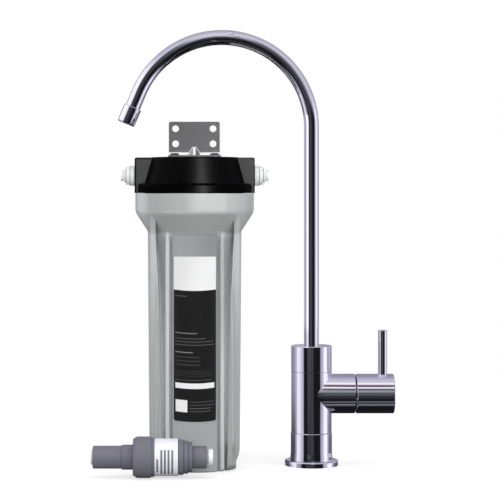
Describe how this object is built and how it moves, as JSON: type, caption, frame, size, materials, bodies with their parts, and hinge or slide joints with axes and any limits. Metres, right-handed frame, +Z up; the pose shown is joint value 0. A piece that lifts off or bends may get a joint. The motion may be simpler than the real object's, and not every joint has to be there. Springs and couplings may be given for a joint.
{
  "type": "under-sink water filter set",
  "caption": "Under-sink water filter: ribbed housing with head and wall bracket, gooseneck faucet with side lever, and in-line pressure limiting valve.",
  "frame": {"origin": "on the floor at the centre of the bowl's foot, under the axis of the filter housing", "axes": "+Z up, +X from the housing towards the faucet, +Y towards the wall behind the bracket"},
  "size_m": [0.2852, 0.1506, 0.4156],
  "materials": {
    "bracket_steel": "grey satin coating on steel",
    "screw_steel": "zinc plated",
    "black_plastic": "satin moulded plastic",
    "white_plastic": "satin moulded plastic",
    "black_rubber": "matt rubber",
    "collet_plastic": "smooth moulded plastic",
    "grey_plastic": "satin moulded plastic",
    "front_label_film": "printed film, white above, black below",
    "cap_plastic": "moulded plastic",
    "carbon": "pressed carbon block",
    "fleece": "fleece sleeve",
    "chrome": "polished chrome plating on brass",
    "brass": "turned brass",
    "ceramic": "lapped ceramic",
    "valve_plastic": "satin moulded plastic",
    "valve_label_film": "bare white film",
    "spring_steel": "stainless spring wire"
  },
  "bodies": {
    "housing": {"wall_bracket": "bracket_steel", "bracket_screws": "screw_steel", "filter_head": "black_plastic", "inlet_fitting": "white_plastic", "outlet_fitting": "white_plastic", "inlet_o_ring": "black_rubber", "outlet_o_ring": "black_rubber"},
    "inlet_collet": {"inlet_collet": "collet_plastic"},
    "outlet_collet": {"outlet_collet": "collet_plastic"},
    "cartridge": {"cartridge_top_cap": "cap_plastic", "cartridge_bottom_cap": "cap_plastic", "cartridge_gaskets": "black_rubber", "cartridge_core": "cap_plastic", "carbon_block": "carbon", "cartridge_wrap": "fleece"},
    "bowl": {"bowl": "grey_plastic", "bowl_o_ring": "black_rubber", "front_label": "front_label_film"},
    "faucet": {"base_flange": "chrome", "base_gasket": "black_rubber", "faucet_base": "chrome", "base_o_ring": "black_rubber", "faucet_body": "chrome", "faucet_collar": "chrome", "spout_bush": "cap_plastic", "valve_gasket": "black_rubber", "valve_cage": "brass", "fixed_disc": "ceramic", "valve_nut": "brass"},
    "spout": {"spout_tail": "brass", "spout_o_rings": "black_rubber", "spout_tube": "chrome", "spout_nozzle": "chrome", "aerator_seal": "black_rubber", "aerator": "cap_plastic"},
    "lever": {"moving_disc": "ceramic", "spindle": "brass", "spindle_o_ring": "black_rubber", "handle_hub": "chrome", "hub_screw": "screw_steel", "lever_rod": "chrome"},
    "limiting_valve": {"plv_inlet_half": "valve_plastic", "plv_outlet_half": "valve_plastic", "plv_label": "valve_label_film", "plv_spring": "spring_steel", "plv_inlet_o_ring": "black_rubber", "plv_outlet_o_ring": "black_rubber"},
    "piston": {"plv_piston": "cap_plastic", "plv_piston_o_rings": "black_rubber", "plv_seat": "black_rubber"},
    "plv_inlet_collet": {"plv_inlet_collet": "collet_plastic"},
    "plv_outlet_collet": {"plv_outlet_collet": "collet_plastic"}
  },
  "joints": [
    {"name": "bowl_drop", "type": "slide", "parent": "housing", "child": "cartridge", "axis": [0, 0, -1], "range_m": [0, 0.018]},
    {"name": "bowl_turn", "type": "hinge", "parent": "cartridge", "child": "bowl", "pos_m": [0, 0, 0.25], "axis": [0, 0, -1], "range_deg": [0, 1080]},
    {"name": "inlet_release", "type": "slide", "parent": "housing", "child": "inlet_collet", "axis": [1, 0, 0], "range_m": [0, 0.001]},
    {"name": "outlet_release", "type": "slide", "parent": "housing", "child": "outlet_collet", "axis": [-1, 0, 0], "range_m": [0, 0.001]},
    {"name": "faucet_lift", "type": "slide", "parent": "housing", "child": "faucet", "axis": [0, 0, 1], "range_m": [0, 0.5]},
    {"name": "spout_swivel", "type": "hinge", "parent": "faucet", "child": "spout", "pos_m": [0.1117, 0.011, 0.1], "axis": [0, 0, 1], "continuous": true},
    {"name": "lever_turn", "type": "hinge", "parent": "faucet", "child": "lever", "pos_m": [0.162, 0.011, 0.0682], "axis": [1, 0, 0], "range_deg": [0, 90]},
    {"name": "valve_lift", "type": "slide", "parent": "housing", "child": "limiting_valve", "axis": [0, 0, 1], "range_m": [0, 0.15]},
    {"name": "piston_close", "type": "slide", "parent": "limiting_valve", "child": "piston", "axis": [-1, 0, 0], "range_m": [0, 0.002], "stiffness_N_per_m": 500, "springref_m": -0.004, "deforming": ["plv_spring"]},
    {"name": "plv_inlet_release", "type": "slide", "parent": "limiting_valve", "child": "plv_inlet_collet", "axis": [1, 0, 0], "range_m": [0, 0.001]},
    {"name": "plv_outlet_release", "type": "slide", "parent": "limiting_valve", "child": "plv_outlet_collet", "axis": [-1, 0, 0], "range_m": [0, 0.001]}
  ],
  "couplings": [
    {"joint": "bowl_drop", "follows": "bowl_turn", "m_per_rad": 0.00095}
  ]
}
